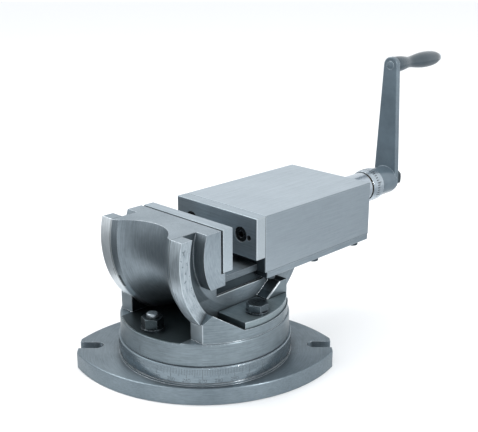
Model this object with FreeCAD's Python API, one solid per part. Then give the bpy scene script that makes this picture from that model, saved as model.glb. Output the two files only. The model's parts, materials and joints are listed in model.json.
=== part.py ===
"""Two-way precision machine vise: a swivel base with a full circle of degrees, a tilting bed held in a
cradle by two clamp plates, and a long movable jaw drawn along the bed by a screw with a cranked handle.

Millimetres. Z is up, and the origin is the middle of the base's underside. The base's two bolt slots lie
on X. Everything above the base is drawn in the vise's own directions (its X runs along the feed screw,
away from the fixed jaw, and its Y along the jaw faces) and is then swung round Z to its resting angle."""

import FreeCAD, Part

import math
import os

V = FreeCAD.Vector

# ---- driving dimensions -------------------------------------------------------------------------------
REST_SWIVEL_DEG = 45.0          # how far the vise stands swung round from the line of the base's slots
JAW_WIDTH = 100.0               # nominal size of the vise
HALF = JAW_WIDTH / 2
JAW_TOP = 142.8                 # height of both jaws over the table
JAW_OPENING = 28.5              # gap between the jaw plates as drawn
MAX_OPENING = 83.5              # gap with the movable jaw right back
PLATE_THICK = 11.0              # hardened jaw plates
PLATE_BOTTOM = 105.4
FIXED_FACE = -14.4              # gripping face of the fixed jaw plate
MOVING_FACE = FIXED_FACE + JAW_OPENING

FLANGE_THICK = 15.0             # base flange: two arcs that meet in square tips
FLANGE_ARC_R = 131.0
FLANGE_HALF_WIDTH = 80.5
FLANGE_HALF_LENGTH = 114.0
SLOT_WIDTH = 12.0               # open bolt slots for M10 bolts
SLOT_CENTRE = 98.0              # centre of a slot's round end
BASE_TOP = 32.0                 # top of the graduated drum
BASE_DRUM_R = 77.2
DRUM_GROOVE_TOP = 18.2          # a turned groove under the scale
T_SLOT_R = 60.5                 # circle of the two swivel bolts
T_HEAD = 14.0
SPIGOT_R = 20.0
SPIGOT_RISE = 5.0

RING_R = 75.2                   # swivel body: lower ring, then two cheeks
RING_TOP = 52.0
CHEEK_R = 73.8
CHEEK_TOP = 60.3
CHEEK_FRONT, CHEEK_REAR = -52.0, 58.0
CHANNEL_HALF = 38.0             # clear width between the cheeks, for the swivel bolts
EAR_X, EAR_FOOT, EAR_TOP = -45.6, 68.3, 76.5    # peak of the walls that guide the rails at the front
WEB_TOP = 78.5

TILT_X, TILT_Z = 9.0, 122.5     # tilt axis, parallel to the jaw faces
RAIL_OUTER_R = 82.0             # curved rails of the bed
RAIL_INNER_R = 71.0
WAIST_R = 64.5                  # spool-shaped waist between the two rails
WAIST_HALF, WAIST_RIM_R = 31.0, 79.6     # where the hollow ends and the shoulder starts
SHOULDER_HALF = 36.5            # where the shoulder meets the rail's rim
SIDE = 37.5                     # half width of the bed between its rails
BLOCK_R = 56.0                  # fixed jaw block, round behind
CRADLE_GAP = 0.3
REAR_END = 53.0                 # rear end of the rails
STOP_X, STOP_Z = 27.5, 66.6     # foot of the sloped end of the side recess
SLOPE_TOP_X = 43.5

CLAMP_TOP = 66.2                # tilt clamp plates
CLAMP_FRONT, CLAMP_REAR = -20.0, 26.8
CLAMP_BOLT_X, CLAMP_BOLT_Y = 4.0, 60.4

WAY_TOP = 97.2                  # ways of the bed
WAY_HALF = 40.0
WAY_BOTTOM = 91.6
NECK_HALF = 35.5
BED_LEDGE = 80.3
BED_END = 143.8
SLAB_BOTTOM = 84.0
UNDERCUT_FRONT = -21.5
LIP_FACE = -23.5

JAW_REAR = 172.6                # movable jaw casting
JAW_BOTTOM = 91.5
CAVITY_FRONT, CAVITY_REAR = 45.0, 160.0
CAVITY_HALF, CAVITY_TOP = 38.0, 134.5
KEEPER_BOTTOM = 85.5
KEEPER_INNER = 36.2
KEEPER_SCREW_Y = 44.5
KEEPER_SCREW_X = (36.0, 95.5, 155.0)
PLATE_SCREW_Y, PLATE_SCREW_Z = 31.0, 125.0
DOWEL_Y, DOWEL_Z = 40.5, 123.8

SCREW_Z = 117.5                 # feed screw
THREAD_R = 9.0
JOURNAL_R = 8.0
SCREW_FRONT = 46.5
NUT_FRONT, NUT_REAR = 101.0, 122.5
SLEEVE_R, SLEEVE_END = 15.0, 226.0
DIAL_R, DIAL_END = 17.0, 243.4
TAIL_R = 6.5
RUNNING = 0.04                  # radial clearance of turning and sliding fits

HUB_R, ARM_X, ARM_THICK = 15.0, 267.0, 6.2
ARM_ROOT_R, ARM_TIP_R = 14.2, 8.4
CRANK_RADIUS = 122.5
SPINDLE_R = 3.0
GRIP_FRONT, GRIP_END = 273.6, 354.0


# ---- small helpers ------------------------------------------------------------------------------------
def box(x0, x1, y0, y1, z0, z1):
    return Part.makeBox(x1 - x0, y1 - y0, z1 - z0, V(x0, y0, z0))


def rod_x(r, x0, x1, y=0.0, z=SCREW_Z):
    return Part.makeCylinder(r, x1 - x0, V(x0, y, z), V(1, 0, 0))


def rod_z(r, x, y, z0, z1):
    return Part.makeCylinder(r, z1 - z0, V(x, y, z0))


def tilt_rod(r, y0=-HALF - 30, y1=HALF + 30):
    """A cylinder round the tilt axis."""
    return Part.makeCylinder(r, y1 - y0, V(TILT_X, y0, TILT_Z), V(0, 1, 0))


def side_prism(points, y0, y1):
    """An outline given as (x, z) points, pulled along Y."""
    wire = Part.makePolygon([V(x, y0, z) for x, z in points + points[:1]])
    return Part.Face(wire).extrude(V(0, y1 - y0, 0))


def both_sides(shape):
    """The shape and its mirror image across the screw's plane."""
    return [shape, shape.mirror(V(0, 0, 0), V(0, 1, 0))]


def join(*shapes):
    whole = shapes[0].multiFuse(list(shapes[1:])) if len(shapes) > 1 else shapes[0]
    return whole.removeSplitter()


def hexagon(across_flats, height, centre, axis, turn_deg=0.0):
    """A hexagonal prism with its corners turned off at the outer end."""
    r = across_flats / math.sqrt(3)
    corners = [
        V(r * math.cos(math.radians(60 * k + turn_deg)), r * math.sin(math.radians(60 * k + turn_deg)), 0)
        for k in range(7)
    ]
    prism = Part.Face(Part.makePolygon(corners)).extrude(V(0, 0, height))
    crown = Part.makeCone(r + height * 1.7, across_flats / 2 * 0.98, height)
    prism = prism.common(crown)
    prism.Placement = FreeCAD.Placement(centre, FreeCAD.Rotation(V(0, 0, 1), axis))
    return prism


def washer(inner, outer, thick, centre, axis):
    ring = Part.makeCylinder(outer, thick, centre, axis)
    return ring.cut(Part.makeCylinder(inner, thick, centre, axis))


def socket_screw(r, head_r, head_h, length, top, axis, socket_af):
    """A socket-head screw whose head's outer face is centred on `top`; `axis` points out of the head."""
    inward = axis * -1.0
    head = Part.makeCylinder(head_r, head_h, top, inward)
    head = head.makeChamfer(0.5, [e for e in head.Edges if abs(e.CenterOfMass.sub(top).dot(axis)) < 1e-6
                                  and e.Closed])
    shank = Part.makeCylinder(r, length, top + inward * head_h, inward)
    socket = hexagon(socket_af, head_h * 0.55, top, axis)
    socket.translate(inward * (head_h * 0.55))
    return join(head, shank).cut(socket)


def edges_where(shape, test):
    return [e for e in shape.Edges if test(e)]


def is_round_at(z):
    """Picks closed circular edges that lie at height z."""
    return lambda e: e.Closed and abs(e.BoundBox.ZMin - z) < 1e-4 and abs(e.BoundBox.ZMax - z) < 1e-4


# ---- base ---------------------------------------------------------------------------------------------
def base():
    """Flange, graduated drum and the ring-shaped T-slot that the swivel bolts run in."""
    offset = FLANGE_ARC_R - FLANGE_HALF_WIDTH
    lens = rod_z(FLANGE_ARC_R, 0, -offset, 0, FLANGE_THICK).common(
        rod_z(FLANGE_ARC_R, 0, offset, 0, FLANGE_THICK))
    length = FLANGE_HALF_LENGTH
    flange = lens.common(box(-length, length, -HALF * 2, HALF * 2, 0, FLANGE_THICK))
    for side in (-1, 1):
        x = side * SLOT_CENTRE
        mouth = (x, x + 40) if side > 0 else (x - 40, x)
        slot = join(rod_z(SLOT_WIDTH / 2, x, 0, 0, FLANGE_THICK),
                    box(*mouth, -SLOT_WIDTH / 2, SLOT_WIDTH / 2, 0, FLANGE_THICK))
        flange = flange.cut(slot)
    flange = flange.makeFillet(1.4, edges_where(
        flange, lambda e: e.BoundBox.ZMin > FLANGE_THICK - 1e-4 and e.Length > 60))
    drum = rod_z(BASE_DRUM_R, 0, 0, FLANGE_THICK, BASE_TOP)
    drum = drum.makeFillet(0.9, edges_where(drum, is_round_at(BASE_TOP)))
    groove_top, groove = DRUM_GROOVE_TOP, 1.2
    body = join(flange, drum)
    body = body.cut(washer(BASE_DRUM_R - 0.9, BASE_DRUM_R + 1, groove, V(0, 0, groove_top - groove), V(0, 0, 1)))
    neck = 5.3
    head = T_HEAD / 2 + 0.5
    slot_floor, lip = 16.5, 25.0
    neck_ring = washer(T_SLOT_R - neck, T_SLOT_R + neck, BASE_TOP - lip, V(0, 0, lip), V(0, 0, 1))
    head_ring = washer(T_SLOT_R - head, T_SLOT_R + head, lip - slot_floor, V(0, 0, slot_floor), V(0, 0, 1))
    bore = rod_z(SPIGOT_R, 0, 0, slot_floor, BASE_TOP)
    return body.cut(neck_ring).cut(head_ring).cut(bore)


def centre_spigot():
    """Pressed into the base; the swivel body turns on it."""
    spigot = rod_z(SPIGOT_R, 0, 0, 16.5, BASE_TOP + SPIGOT_RISE)
    top = BASE_TOP + SPIGOT_RISE
    return spigot.makeChamfer(1.0, edges_where(spigot, is_round_at(top)))


# ---- swivel body --------------------------------------------------------------------------------------
def spool(gap=0.0):
    """The bed's round body: two rails with a hollow waist between them, turned round the tilt axis."""
    rows = [(SIDE, 0.0), (SIDE, RAIL_OUTER_R + gap), (SHOULDER_HALF, RAIL_OUTER_R + gap),
            (WAIST_HALF, WAIST_RIM_R + gap)]
    line = [V(TILT_X, -y, TILT_Z - r) for y, r in rows]
    back = [V(TILT_X, y, TILT_Z - r) for y, r in reversed(rows)]
    hollow = Part.Arc(line[-1], V(TILT_X, 0, TILT_Z - WAIST_R - gap), back[0]).toShape()
    edges = [Part.makeLine(a, b) for a, b in zip(line, line[1:])] + [hollow]
    edges += [Part.makeLine(a, b) for a, b in zip(back, back[1:])] + [Part.makeLine(back[-1], line[0])]
    face = Part.Face(Part.Wire(edges))
    return face.revolve(V(TILT_X, 0, TILT_Z), V(0, 1, 0), 360)


def cheek_outline():
    """Side view of the cheeks: front wall, sloped ear and the flat seat for the clamp plate."""
    return [(CHEEK_FRONT, RING_TOP), (CHEEK_FRONT, EAR_FOOT), (EAR_X, EAR_TOP),
            (CLAMP_FRONT - 1.5, CHEEK_TOP), (CHEEK_REAR, CHEEK_TOP), (CHEEK_REAR, RING_TOP)]


def swivel_body():
    """Lower ring, two cheeks with ears, the curved cradle for the rails and the channel for the bolts."""
    ring = rod_z(RING_R, 0, 0, BASE_TOP, RING_TOP)
    ring = ring.makeFillet(1.6, edges_where(ring, is_round_at(RING_TOP)))
    ring = ring.makeChamfer(0.6, edges_where(ring, is_round_at(BASE_TOP)))
    cheeks = side_prism(cheek_outline(), -RING_R, RING_R).common(rod_z(CHEEK_R, 0, 0, RING_TOP, 100))
    body = join(ring, cheeks)
    body = body.cut(box(-RING_R, RING_R, -CHANNEL_HALF, CHANNEL_HALF, RING_TOP, 120))
    inner = HALF + CRADLE_GAP
    rails = Part.makeCylinder(RAIL_OUTER_R + CRADLE_GAP, inner - SIDE, V(TILT_X, SIDE, TILT_Z), V(0, 1, 0))
    for cut in both_sides(rails):
        body = body.cut(cut)
    body = body.cut(spool(CRADLE_GAP))
    body = body.cut(rod_z(SPIGOT_R + RUNNING, 0, 0, BASE_TOP, BASE_TOP + SPIGOT_RISE + 0.4))
    for x in (-T_SLOT_R, T_SLOT_R):
        body = body.cut(rod_z(5.2, x, 0, BASE_TOP, RING_TOP))
    for y in (-CLAMP_BOLT_Y, CLAMP_BOLT_Y):
        body = body.cut(rod_z(5.0 + RUNNING, CLAMP_BOLT_X, y, 36, CHEEK_TOP))
    return body


def swivel_t_bolts():
    """Square heads in the base's ring slot, studs up through the swivel body."""
    bolts = []
    for x in (-T_SLOT_R, T_SLOT_R):
        head = box(x - T_HEAD / 2, x + T_HEAD / 2, -T_HEAD / 2, T_HEAD / 2, 17.6, 24.8)
        head = head.common(rod_z(T_SLOT_R + T_HEAD / 2 - 0.05, 0, 0, 10, 30))
        stud = rod_z(5.0, x, 0, 24.8, 66.5)
        stud = stud.makeFillet(1.5, edges_where(stud, is_round_at(66.5)))
        bolts.append(join(head, stud))
    return Part.makeCompound(bolts)


def swivel_washers():
    return Part.makeCompound(
        [washer(5.25, 10.0, 2.0, V(x, 0, RING_TOP), V(0, 0, 1)) for x in (-T_SLOT_R, T_SLOT_R)])


def swivel_nut(x, turn_deg):
    nut = hexagon(17.0, 9.0, V(x, 0, RING_TOP + 2.0), V(0, 0, 1), turn_deg)
    return nut.cut(rod_z(5.0 + RUNNING, x, 0, RING_TOP, 70))


def tilt_clamp_plate():
    """D-shaped plate on the far cheek; its curved shoe reaches down onto the inside of the rail."""
    bottom = TILT_Z - RAIL_INNER_R + CRADLE_GAP
    inner = box(CLAMP_FRONT, CLAMP_REAR, SIDE + 0.5, HALF + 1, CHEEK_TOP, CLAMP_TOP)
    outer = box(CLAMP_FRONT, CHEEK_REAR, HALF + CRADLE_GAP, CHEEK_R, CHEEK_TOP, CLAMP_TOP)
    plate = join(inner, outer).common(rod_z(CHEEK_R - 1.2, 0, 0, 50, 70))
    plate = plate.makeChamfer(0.5, edges_where(plate, lambda e: e.BoundBox.ZMin > CLAMP_TOP - 1e-4))
    shoe = box(CLAMP_FRONT, CLAMP_REAR, SIDE + 0.5, HALF - 0.2, bottom - 1, CHEEK_TOP)
    shoe = shoe.common(tilt_rod(RAIL_INNER_R - CRADLE_GAP))
    body = join(plate, shoe)
    return body.cut(rod_z(5.4, CLAMP_BOLT_X, CLAMP_BOLT_Y, 50, 70))


def clamp_bolt(turn_deg):
    """Hexagon-head M10 screw through the clamp plate into the cheek."""
    seat = CLAMP_TOP + 1.6
    head = hexagon(17.0, 6.4, V(CLAMP_BOLT_X, CLAMP_BOLT_Y, seat), V(0, 0, 1), turn_deg)
    return join(head, rod_z(5.0, CLAMP_BOLT_X, CLAMP_BOLT_Y, 38.0, seat))


def clamp_washers():
    ring = washer(5.3, 10.0, 1.6, V(CLAMP_BOLT_X, CLAMP_BOLT_Y, CLAMP_TOP), V(0, 0, 1))
    return Part.makeCompound(both_sides(ring))


# ---- bed ----------------------------------------------------------------------------------------------
def bed_core():
    """The round body between the rails, cut to the fixed jaw in front and to the ways behind."""
    keep = side_prism([(-90, 30), (-90, JAW_TOP), (FIXED_FACE - PLATE_THICK, JAW_TOP),
                       (FIXED_FACE - PLATE_THICK, PLATE_BOTTOM), (LIP_FACE, PLATE_BOTTOM),
                       (LIP_FACE, WAY_TOP), (110, WAY_TOP), (110, 30)], -SIDE, SIDE)
    return spool().common(keep)


def rail():
    """The far curved rail, with the solid web that closes its rear end."""
    wide = HALF - SIDE
    ring = Part.makeCylinder(RAIL_OUTER_R, wide, V(TILT_X, SIDE, TILT_Z), V(0, 1, 0))
    hollow = Part.makeCylinder(RAIL_INNER_R, wide, V(TILT_X, SIDE, TILT_Z), V(0, 1, 0))
    low = box(-90, REAR_END, SIDE, HALF, 30, WEB_TOP)
    high = box(-90, -10, SIDE, HALF, WEB_TOP, JAW_TOP)
    arc = ring.cut(hollow).common(join(low, high))
    web = side_prism([(STOP_X, 50), (STOP_X, STOP_Z), (SLOPE_TOP_X, WEB_TOP),
                      (REAR_END, WEB_TOP), (REAR_END, 40)], SIDE, HALF).common(ring)
    return join(arc, web)


def jaw_block():
    """Fixed jaw: full width, round behind, with a relief groove round the plate's seat."""
    seat = FIXED_FACE - PLATE_THICK
    block = side_prism([(-60, 94.5), (LIP_FACE, 94.5), (LIP_FACE, PLATE_BOTTOM), (seat, PLATE_BOTTOM),
                        (seat, JAW_TOP), (-60, JAW_TOP)], -HALF, HALF).common(tilt_rod(BLOCK_R))
    relief = box(seat - 2.6, seat, -HALF, HALF, PLATE_BOTTOM, JAW_TOP)
    relief = relief.cut(box(seat - 2.6, seat, -HALF + 4, HALF - 4, PLATE_BOTTOM, JAW_TOP - 4))
    return block, relief


def ways():
    """Dovetail-free flat ways: a wide top flange on a narrower neck."""
    flange = box(LIP_FACE, BED_END, -WAY_HALF, WAY_HALF, WAY_BOTTOM, WAY_TOP)
    neck = box(UNDERCUT_FRONT, BED_END, -NECK_HALF, NECK_HALF, SLAB_BOTTOM, WAY_BOTTOM)
    return join(flange, neck)


def vise_bed():
    block, relief = jaw_block()
    undercut = box(UNDERCUT_FRONT, 120, NECK_HALF, HALF + 5, BED_LEDGE, WAY_BOTTOM)
    core = bed_core()
    for cut in both_sides(undercut):
        core = core.cut(cut)
    body = join(core, *both_sides(rail()), ways(), block).cut(relief)
    seat = FIXED_FACE - PLATE_THICK
    for y in (-PLATE_SCREW_Y, PLATE_SCREW_Y):
        body = body.cut(rod_x(4.0, seat - 16, seat, y, PLATE_SCREW_Z))
    for y in (-DOWEL_Y, DOWEL_Y):
        body = body.cut(rod_x(2.5, seat - 10, seat, y, DOWEL_Z))
    for y in (-24, 24):
        body = body.cut(rod_z(3.0, (NUT_FRONT + NUT_REAR) / 2, y, 86.0, WAY_TOP))
    return body


# ---- jaw plates and their fasteners -------------------------------------------------------------------
def jaw_plate(face_x, outward):
    """A hardened plate; `outward` is +1 where its gripping face looks along +X."""
    back_x = face_x - outward * PLATE_THICK
    plate = box(min(face_x, back_x), max(face_x, back_x), -HALF, HALF, PLATE_BOTTOM, JAW_TOP)
    plate = plate.makeChamfer(0.5, plate.Edges)
    axis = V(-outward, 0, 0)
    for y in (-PLATE_SCREW_Y, PLATE_SCREW_Y):
        start = V(face_x, y, PLATE_SCREW_Z)
        plate = plate.cut(Part.makeCylinder(6.9, 8.4, start, axis))
        plate = plate.cut(Part.makeCylinder(4.25, PLATE_THICK, start, axis))
    for y in (-DOWEL_Y, DOWEL_Y):
        plate = plate.cut(Part.makeCylinder(2.5, PLATE_THICK, V(face_x, y, DOWEL_Z), axis))
    return plate


def plate_screws(face_x, outward):
    axis = V(outward, 0, 0)
    screws = [socket_screw(4.0, 6.5, 8.0, 16.6, V(face_x - outward * 0.4, y, PLATE_SCREW_Z), axis, 6.0)
              for y in (-PLATE_SCREW_Y, PLATE_SCREW_Y)]
    return Part.makeCompound(screws)


def plate_dowels(face_x, outward):
    start, end = face_x - outward * 2.5, face_x - outward * (PLATE_THICK + 9.5)
    return Part.makeCompound([rod_x(2.5, min(start, end), max(start, end), y, DOWEL_Z)
                              for y in (-DOWEL_Y, DOWEL_Y)])


# ---- movable jaw --------------------------------------------------------------------------------------
def movable_jaw():
    """A long box, closed in front and behind, that rides on the ways and hides the feed screw."""
    front = MOVING_FACE + PLATE_THICK
    body = box(front, JAW_REAR, -HALF, HALF, JAW_BOTTOM, JAW_TOP)
    body = body.makeChamfer(0.8, edges_where(body, lambda e: e.BoundBox.ZMax > JAW_TOP - 1e-4
                                             or e.BoundBox.XMin > JAW_REAR - 1e-4))
    body = body.cut(box(front, JAW_REAR, -WAY_HALF - 0.1, WAY_HALF + 0.1, JAW_BOTTOM, WAY_TOP + 0.1))
    body = body.cut(box(CAVITY_FRONT, CAVITY_REAR, -CAVITY_HALF, CAVITY_HALF, WAY_TOP, CAVITY_TOP))
    body = body.cut(rod_x(13.0, CAVITY_REAR, JAW_REAR))
    for y in (-PLATE_SCREW_Y, PLATE_SCREW_Y):
        body = body.cut(rod_x(4.0, front, front + 16, y, PLATE_SCREW_Z))
    for y in (-DOWEL_Y, DOWEL_Y):
        body = body.cut(rod_x(2.5, front, front + 10, y, DOWEL_Z))
    for x in KEEPER_SCREW_X:
        for y in (-KEEPER_SCREW_Y, KEEPER_SCREW_Y):
            body = body.cut(rod_z(3.0, x, y, JAW_BOTTOM, 104))
    for at in sleeve_screw_places():
        body = body.cut(rod_x(2.5, JAW_REAR - 9, JAW_REAR, *at))
    return body


def keeper():
    """The far keeper strip, screwed under the jaw's skirt and reaching in under the way."""
    strip = box(MOVING_FACE + PLATE_THICK + 2, JAW_REAR - 1.5, KEEPER_INNER, HALF, KEEPER_BOTTOM, JAW_BOTTOM)
    strip = strip.makeChamfer(0.6, edges_where(strip, lambda e: e.BoundBox.ZMax < KEEPER_BOTTOM + 1e-4))
    for x in KEEPER_SCREW_X:
        strip = strip.cut(rod_z(5.2, x, KEEPER_SCREW_Y, KEEPER_BOTTOM, KEEPER_BOTTOM + 3.5))
        strip = strip.cut(rod_z(3.2, x, KEEPER_SCREW_Y, KEEPER_BOTTOM, JAW_BOTTOM))
    return strip


def keeper_screws():
    screws = [socket_screw(3.0, 5.0, 6.0, 14.0, V(x, y, KEEPER_BOTTOM - 2.5), V(0, 0, -1), 5.0)
              for x in KEEPER_SCREW_X for y in (-KEEPER_SCREW_Y, KEEPER_SCREW_Y)]
    return Part.makeCompound(screws)


# ---- feed screw ---------------------------------------------------------------------------------------
def feed_nut():
    """Bronze nut bolted to the top of the bed, inside the movable jaw."""
    foot = box(NUT_FRONT, NUT_REAR, -30, 30, WAY_TOP, 105)
    post = box(NUT_FRONT, NUT_REAR, -15, 15, 105, SCREW_Z)
    crown = rod_x(15.0, NUT_FRONT, NUT_REAR)
    body = join(foot, post, crown).cut(rod_x(THREAD_R + RUNNING, NUT_FRONT, NUT_REAR))
    for y in (-24, 24):
        body = body.cut(rod_z(3.2, (NUT_FRONT + NUT_REAR) / 2, y, WAY_TOP, 105))
    return body


def feed_nut_screws():
    x = (NUT_FRONT + NUT_REAR) / 2
    return Part.makeCompound([socket_screw(3.0, 5.0, 6.0, 18.5, V(x, y, 111), V(0, 0, 1), 5.0)
                              for y in (-24, 24)])


def lead_screw():
    """Thread, thrust collar, long journal and keyed tail with a threaded end for the crank's nut."""
    body = join(rod_x(THREAD_R, SCREW_FRONT, 152), rod_x(15.0, 152, 158), rod_x(JOURNAL_R, 158, 249),
                rod_x(TAIL_R, 249, ARM_X + ARM_THICK), rod_x(6.0, ARM_X + ARM_THICK, 288.5))
    ends = [e for e in body.Edges if e.Closed and (e.BoundBox.XMax < SCREW_FRONT + 1e-4
                                                   or e.BoundBox.XMin > 288.5 - 1e-4)]
    body = body.makeChamfer(1.0, ends)
    return body.cut(crank_key())


def crank_key():
    return box(251, 265, -2, 2, SCREW_Z + 4.5, SCREW_Z + 8.5)


def thrust_washers():
    inner = washer(JOURNAL_R + 0.3, 16.0, 2.0, V(158, 0, SCREW_Z), V(1, 0, 0))
    outer = washer(JOURNAL_R + 0.3, 14.0, 1.5, V(SLEEVE_END, 0, SCREW_Z), V(1, 0, 0))
    return Part.makeCompound([inner, outer])


def bearing_sleeve():
    """Tube bolted to the back of the movable jaw; it carries the screw's long bush."""
    flange = rod_x(22.0, JAW_REAR, JAW_REAR + 6)
    flange = flange.makeChamfer(0.8, [e for e in flange.Edges if e.Closed and e.BoundBox.XMin > JAW_REAR + 5])
    body = join(rod_x(13.0, 162, JAW_REAR), flange, rod_x(SLEEVE_R, JAW_REAR + 6, SLEEVE_END))
    body = body.cut(rod_x(10.5, 162, SLEEVE_END))
    for at in sleeve_screw_places():
        body = body.cut(rod_x(2.7, JAW_REAR, JAW_REAR + 6, *at))
    return body


def sleeve_screw_places():
    return [(18.2 * math.cos(math.radians(a)), SCREW_Z + 18.2 * math.sin(math.radians(a)))
            for a in (45, 135, 225, 315)]


def sleeve_screws():
    return Part.makeCompound([socket_screw(2.5, 3.2, 4.0, 14.0, V(JAW_REAR + 10, y, z), V(1, 0, 0), 3.0)
                              for y, z in sleeve_screw_places()])


def screw_bush():
    return rod_x(10.5, 162, SLEEVE_END).cut(rod_x(JOURNAL_R + RUNNING, 162, SLEEVE_END))


def feed_dial():
    """Graduated collar fixed on the screw."""
    start = SLEEVE_END + 1.5
    cone = Part.makeCone(DIAL_R - 1.2, DIAL_R, 5.0, V(start, 0, SCREW_Z), V(1, 0, 0))
    body = join(cone, rod_x(DIAL_R, start + 5.0, DIAL_END))
    body = body.makeChamfer(0.6, [e for e in body.Edges if e.Closed and e.BoundBox.XMin > DIAL_END - 1e-3])
    return body.cut(rod_x(JOURNAL_R, start, DIAL_END)).cut(dial_screw_body(2.0))


def dial_screw_body(r):
    z0 = SCREW_Z - DIAL_R - 1
    return rod_z(r, 238.5, 0, z0, SCREW_Z - JOURNAL_R + 0.001)


def dial_set_screw():
    """Grub screw that locks the dial to the screw."""
    return rod_z(2.0, 238.5, 0, SCREW_Z - DIAL_R + 0.8, SCREW_Z - JOURNAL_R)


# ---- crank --------------------------------------------------------------------------------------------
def crank_arm():
    """Hub, tapered flat arm and the hole for the grip's spindle."""
    tip_z = SCREW_Z + CRANK_RADIUS
    lean = math.asin((ARM_ROOT_R - ARM_TIP_R) / CRANK_RADIUS)
    side, rise = math.cos(lean), math.sin(lean)
    web = [(ARM_ROOT_R * side, SCREW_Z + ARM_ROOT_R * rise), (ARM_TIP_R * side, tip_z + ARM_TIP_R * rise),
           (-ARM_TIP_R * side, tip_z + ARM_TIP_R * rise), (-ARM_ROOT_R * side, SCREW_Z + ARM_ROOT_R * rise)]
    wire = Part.makePolygon([V(ARM_X, y, z) for y, z in web + web[:1]])
    end = ARM_X + ARM_THICK
    arm = join(Part.Face(wire).extrude(V(ARM_THICK, 0, 0)), rod_x(ARM_ROOT_R, ARM_X, end),
               rod_x(ARM_TIP_R, ARM_X, end, 0, tip_z))
    arm = arm.makeFillet(1.2, edges_where(arm, lambda e: e.BoundBox.XLength < 1e-4))
    body = join(arm, rod_x(HUB_R, DIAL_END + 0.5, ARM_X + 2))
    ring = [e for e in body.Edges if e.Closed and e.BoundBox.XMax < DIAL_END + 0.6]
    body = body.makeFillet(1.0, ring)
    body = body.cut(rod_x(TAIL_R, DIAL_END, end + 1)).cut(rod_x(JOURNAL_R, DIAL_END, 249))
    body = body.cut(crank_key())
    return body.cut(rod_x(4.5, ARM_X - 1, end + 1, 0, tip_z))


def crank_washer():
    return washer(6.1, 12.0, 2.0, V(ARM_X + ARM_THICK, 0, SCREW_Z), V(1, 0, 0))


def crank_nut():
    nut = hexagon(18.0, 10.0, V(ARM_X + ARM_THICK + 2, 0, SCREW_Z), V(1, 0, 0))
    return nut.cut(rod_x(6.0, ARM_X, 300))


def grip_spindle():
    """Riveted in the arm; the grip turns on it and its domed head keeps the grip on."""
    z = SCREW_Z + CRANK_RADIUS
    head = rod_x(4.8, GRIP_END + 0.3, GRIP_END + 3.8, 0, z)
    head = head.makeFillet(2.4, [e for e in head.Edges if e.Closed and e.BoundBox.XMin > GRIP_END + 3])
    return join(rod_x(4.5, ARM_X + 0.2, ARM_X + ARM_THICK, 0, z),
                rod_x(SPINDLE_R, ARM_X + ARM_THICK, GRIP_END + 0.3, 0, z), head)


def crank_grip():
    """Revolving handle: a short collar, a narrow neck and a long belly."""
    z = SCREW_Z + CRANK_RADIUS
    profile = [(GRIP_FRONT, 7.4), (284.0, 7.8), (291.0, 6.9), (298.5, 5.8), (307.0, 6.3), (318.0, 7.7),
               (330.0, 8.4), (341.0, 8.0), (349.5, 6.7), (GRIP_END, 5.2)]
    curve = Part.BSplineCurve()
    curve.interpolate([V(x, 0, z + r) for x, r in profile])
    first, last = V(GRIP_FRONT, 0, z), V(GRIP_END, 0, z)
    edges = [Part.makeLine(first, V(GRIP_FRONT, 0, z + profile[0][1])), curve.toShape(),
             Part.makeLine(V(GRIP_END, 0, z + profile[-1][1]), last), Part.makeLine(last, first)]
    body = Part.Face(Part.Wire(edges)).revolve(first, V(1, 0, 0), 360)
    return body.cut(rod_x(SPINDLE_R + RUNNING, GRIP_FRONT, GRIP_END, 0, z))


# ---- assembly -----------------------------------------------------------------------------------------
def mirrored(shape):
    return shape.mirror(V(0, 0, 0), V(0, 1, 0))


FIXED_NODES = {"base": base, "centre_spigot": centre_spigot}

TURNED_NODES = {
    "swivel_body": swivel_body,
    "swivel_t_bolts": swivel_t_bolts,
    "swivel_washers": swivel_washers,
    "swivel_nut_front": lambda: swivel_nut(-T_SLOT_R, 12.0),
    "swivel_nut_rear": lambda: swivel_nut(T_SLOT_R, 0.0),
    "tilt_clamp_plate_left": tilt_clamp_plate,
    "tilt_clamp_plate_right": lambda: mirrored(tilt_clamp_plate()),
    "tilt_clamp_bolt_left": lambda: clamp_bolt(0.0),
    "tilt_clamp_bolt_right": lambda: mirrored(clamp_bolt(0.0)),
    "clamp_washers": clamp_washers,
    "vise_bed": vise_bed,
    "fixed_jaw_plate": lambda: jaw_plate(FIXED_FACE, 1),
    "fixed_jaw_screws": lambda: plate_screws(FIXED_FACE, 1),
    "fixed_jaw_dowels": lambda: plate_dowels(FIXED_FACE, 1),
    "feed_nut": feed_nut,
    "feed_nut_screws": feed_nut_screws,
    "movable_jaw": movable_jaw,
    "movable_jaw_plate": lambda: jaw_plate(MOVING_FACE, -1),
    "movable_jaw_screws": lambda: plate_screws(MOVING_FACE, -1),
    "movable_jaw_dowels": lambda: plate_dowels(MOVING_FACE, -1),
    "keeper_left": keeper,
    "keeper_right": lambda: mirrored(keeper()),
    "keeper_screws": keeper_screws,
    "bearing_sleeve": bearing_sleeve,
    "sleeve_screws": sleeve_screws,
    "screw_bush": screw_bush,
    "thrust_washers": thrust_washers,
    "lead_screw": lead_screw,
    "feed_dial": feed_dial,
    "dial_set_screw": dial_set_screw,
    "crank_arm": crank_arm,
    "crank_key": crank_key,
    "crank_washer": crank_washer,
    "crank_nut": crank_nut,
    "grip_spindle": grip_spindle,
    "crank_grip": crank_grip,
}


def main():
    os.makedirs("parts", exist_ok=True)
    for name, make in {**FIXED_NODES, **TURNED_NODES}.items():
        shape = make()
        if name in TURNED_NODES:
            shape = shape.copy()
            shape.rotate(V(0, 0, 0), V(0, 0, 1), REST_SWIVEL_DEG)
        print(name, shape.isValid(), len(shape.Solids), round(shape.Volume / 1000, 1), "cm3")
        shape.exportStep("parts/" + name + ".step")


main()
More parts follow.
